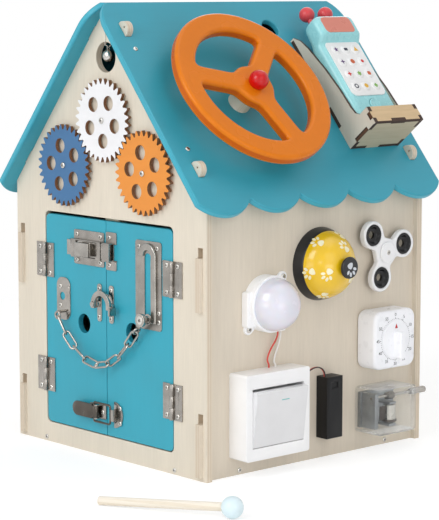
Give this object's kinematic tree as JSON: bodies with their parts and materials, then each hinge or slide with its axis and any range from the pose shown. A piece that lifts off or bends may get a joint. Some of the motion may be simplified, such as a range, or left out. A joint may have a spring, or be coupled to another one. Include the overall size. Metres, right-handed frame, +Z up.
{
  "type": "wooden busy board",
  "caption": "House-shaped wooden busy board with latched doors, meshing gears, steering wheel, toy phone, lamp, switch, bell, spinner, timer and music box",
  "frame": {"origin": "middle of the base board's lower face, on the floor", "axes": "+Z up, -Y out of the front gable with the doors, +X out of the equipped side wall"},
  "size_m": [0.448, 0.4568, 0.4637],
  "materials": {
    "plywood": "sanded birch plywood, clear varnish",
    "roof_paint": "teal paint on plywood, satin",
    "door_paint": "turquoise paint on plywood, satin",
    "steel": "nickel-plated pressed steel",
    "gear_white": "white paint on plywood, charred edges",
    "gear_blue": "blue paint on plywood, charred edges",
    "gear_orange": "orange stain on plywood, charred edges",
    "wheel_orange": "orange varnish on solid wood",
    "ball_red": "red gloss paint on a wooden ball",
    "phone_mint": "moulded plastic, satin gloss",
    "phone_coral": "moulded plastic, gloss",
    "keypad_white": "soft membrane",
    "lamp_white": "moulded plastic",
    "dome_frosted": "frosted translucent plastic",
    "bell_black": "black enamel on pressed steel",
    "bell_yellow": "yellow enamel on pressed steel",
    "key_black": "moulded plastic",
    "spinner_white": "moulded plastic, gloss",
    "timer_white": "moulded plastic",
    "case_clear": "clear moulded plastic",
    "zinc": "die-cast zinc, as cast",
    "drum_steel": "bright plated steel",
    "switch_white": "moulded plastic",
    "battery_black": "moulded plastic",
    "wire_jacket": "soft PVC insulation"
  },
  "bodies": {
    "house": {"front_gable": "plywood", "back_gable": "plywood", "right_wall": "plywood", "left_wall": "plywood", "base_board": "plywood", "roof_right": "roof_paint", "roof_left": "roof_paint", "house_screws": "steel", "door_stop": "plywood", "hinge_jamb_leaves": "steel", "wheel_boss": "plywood", "holder_cheeks": "plywood", "holder_boards": "plywood", "lamp_base": "lamp_white", "lamp_dome": "dome_frosted", "bell_base": "bell_black", "bell_dome": "bell_yellow", "spinner_hub": "spinner_white", "timer_case": "timer_white", "music_case": "case_clear", "music_movement": "zinc", "switch_box": "switch_white", "battery_box": "battery_black", "lamp_wires": "wire_jacket", "battery_lead": "wire_jacket"},
    "door_left": {"door_left_board": "door_paint", "hinge_leaves_left": "steel", "bolt_plate": "steel", "chain_anchor": "steel", "chain_left": "steel", "clasp_plate_left": "steel", "latch_base": "steel"},
    "door_right": {"door_right_board": "door_paint", "hinge_leaves_right": "steel", "bolt_keeper": "steel", "chain_track": "steel", "clasp_plate_right": "steel", "latch_strike": "steel"},
    "bolt": {"bolt_slide": "steel"},
    "clasp": {"clasp_arm": "steel"},
    "lever": {"latch_lever": "steel"},
    "loop": {"latch_loop": "steel"},
    "slider": {"chain_slider": "steel"},
    "chain_tail": {"chain_right": "steel"},
    "gear_a": {"gear_white": "gear_white"},
    "gear_b": {"gear_blue": "gear_blue"},
    "gear_c": {"gear_orange": "gear_orange"},
    "bell_on_loop": {"jingle_bell": "steel"},
    "wheel": {"steering_wheel": "wheel_orange", "wheel_ball": "ball_red"},
    "phone": {"phone_shell": "phone_mint", "phone_keypad": "keypad_white"},
    "phone_key": {"phone_button": "phone_coral"},
    "bell_key": {"bell_button": "key_black"},
    "spinner": {"spinner_rotor": "spinner_white"},
    "timer_dial": {"timer_knob": "timer_white"},
    "drum": {"music_cylinder": "drum_steel"},
    "crank": {"music_crank": "steel"},
    "rocker": {"switch_rocker": "switch_white"},
    "mallet_loose": {"mallet": "plywood"}
  },
  "joints": [
    {"name": "door_left_hinge", "type": "hinge", "parent": "house", "child": "door_left", "pos_m": [-0.1024, -0.1543, 0.0733], "axis": [0, 0, -1], "range_deg": [0, 110]},
    {"name": "door_right_hinge", "type": "hinge", "parent": "house", "child": "door_right", "pos_m": [0.1024, -0.1543, 0.0733], "axis": [0, 0, 1], "range_deg": [0, 110]},
    {"name": "bolt_travel", "type": "slide", "parent": "door_left", "child": "bolt", "axis": [1, 0, 0], "range_m": [-0.009, 0.009]},
    {"name": "clasp_swing", "type": "hinge", "parent": "door_left", "child": "clasp", "pos_m": [-0.01565, -0.157, 0.158], "axis": [0, -1, 0], "range_deg": [0, 60]},
    {"name": "lever_throw", "type": "hinge", "parent": "door_left", "child": "lever", "pos_m": [-0.013, -0.1575, 0.046], "axis": [0, 0, 1], "range_deg": [0, 120]},
    {"name": "loop_follow", "type": "hinge", "parent": "lever", "child": "loop", "pos_m": [-0.0165, -0.1575, 0.046], "axis": [0, 0, 1], "range_deg": [-120, 0]},
    {"name": "slider_travel", "type": "slide", "parent": "door_right", "child": "slider", "axis": [0, 0, 1], "range_m": [0, 0.06]},
    {"name": "tail_swing", "type": "hinge", "parent": "slider", "child": "chain_tail", "pos_m": [0.066, -0.161, 0.1515], "axis": [0, -1, 0], "range_deg": [0, 48]},
    {"name": "gear_white_turn", "type": "hinge", "parent": "house", "child": "gear_a", "pos_m": [0, -0.156, 0.34599], "axis": [0, -1, 0], "continuous": true},
    {"name": "gear_blue_turn", "type": "hinge", "parent": "house", "child": "gear_b", "pos_m": [-0.0635, -0.156, 0.297], "axis": [0, -1, 0], "continuous": true},
    {"name": "gear_orange_turn", "type": "hinge", "parent": "house", "child": "gear_c", "pos_m": [0.0635, -0.156, 0.297], "axis": [0, -1, 0], "continuous": true},
    {"name": "bell_sway", "type": "hinge", "parent": "house", "child": "bell_on_loop", "pos_m": [0, -0.1485, 0.43404], "axis": [0, -1, 0], "range_deg": [-20, 20]},
    {"name": "wheel_turn", "type": "hinge", "parent": "house", "child": "wheel", "pos_m": [0.10762, -0.0525, 0.37884], "axis": [0.7705, 0, 0.6374], "continuous": true},
    {"name": "phone_lift", "type": "slide", "parent": "house", "child": "phone", "axis": [-0.6374, 0, 0.7705], "range_m": [0, 0.11]},
    {"name": "phone_key_press", "type": "slide", "parent": "phone", "child": "phone_key", "axis": [-0.7705, 0, -0.6374], "range_m": [0, 0.001], "stiffness_N_per_m": 200, "springref_m": -0.001},
    {"name": "bell_press", "type": "slide", "parent": "house", "child": "bell_key", "axis": [-1, 0, 0], "range_m": [0, 0.0025], "stiffness_N_per_m": 200, "springref_m": -0.001},
    {"name": "spinner_turn", "type": "hinge", "parent": "house", "child": "spinner", "pos_m": [0.1564, 0.091, 0.2065], "axis": [1, 0, 0], "continuous": true},
    {"name": "timer_turn", "type": "hinge", "parent": "house", "child": "timer_dial", "pos_m": [0.1664, 0.091, 0.117], "axis": [-1, 0, 0], "range_deg": [0, 330]},
    {"name": "crank_turn", "type": "hinge", "parent": "house", "child": "crank", "pos_m": [0.1634, 0.0881, 0.056], "axis": [0, 1, 0], "continuous": true},
    {"name": "drum_turn", "type": "hinge", "parent": "house", "child": "drum", "pos_m": [0.1634, 0.0931, 0.038], "axis": [0, 0, 1], "continuous": true},
    {"name": "rocker_tilt", "type": "hinge", "parent": "house", "child": "rocker", "pos_m": [0.1664, -0.0748, 0.06], "axis": [0, -1, 0], "range_deg": [0, 14]},
    {"name": "mallet_lift", "type": "slide", "parent": "house", "child": "mallet_loose", "axis": [0, 0, 1], "range_m": [0, 0.1]}
  ],
  "couplings": [
    {"joint": "door_right_hinge", "follows": "door_left_hinge", "ratio": 1},
    {"joint": "loop_follow", "follows": "lever_throw", "ratio": -1},
    {"joint": "tail_swing", "follows": "slider_travel", "rad_per_m": 13.963},
    {"joint": "gear_blue_turn", "follows": "gear_white_turn", "ratio": -1},
    {"joint": "gear_orange_turn", "follows": "gear_white_turn", "ratio": -1},
    {"joint": "drum_turn", "follows": "crank_turn", "ratio": 0.1}
  ]
}
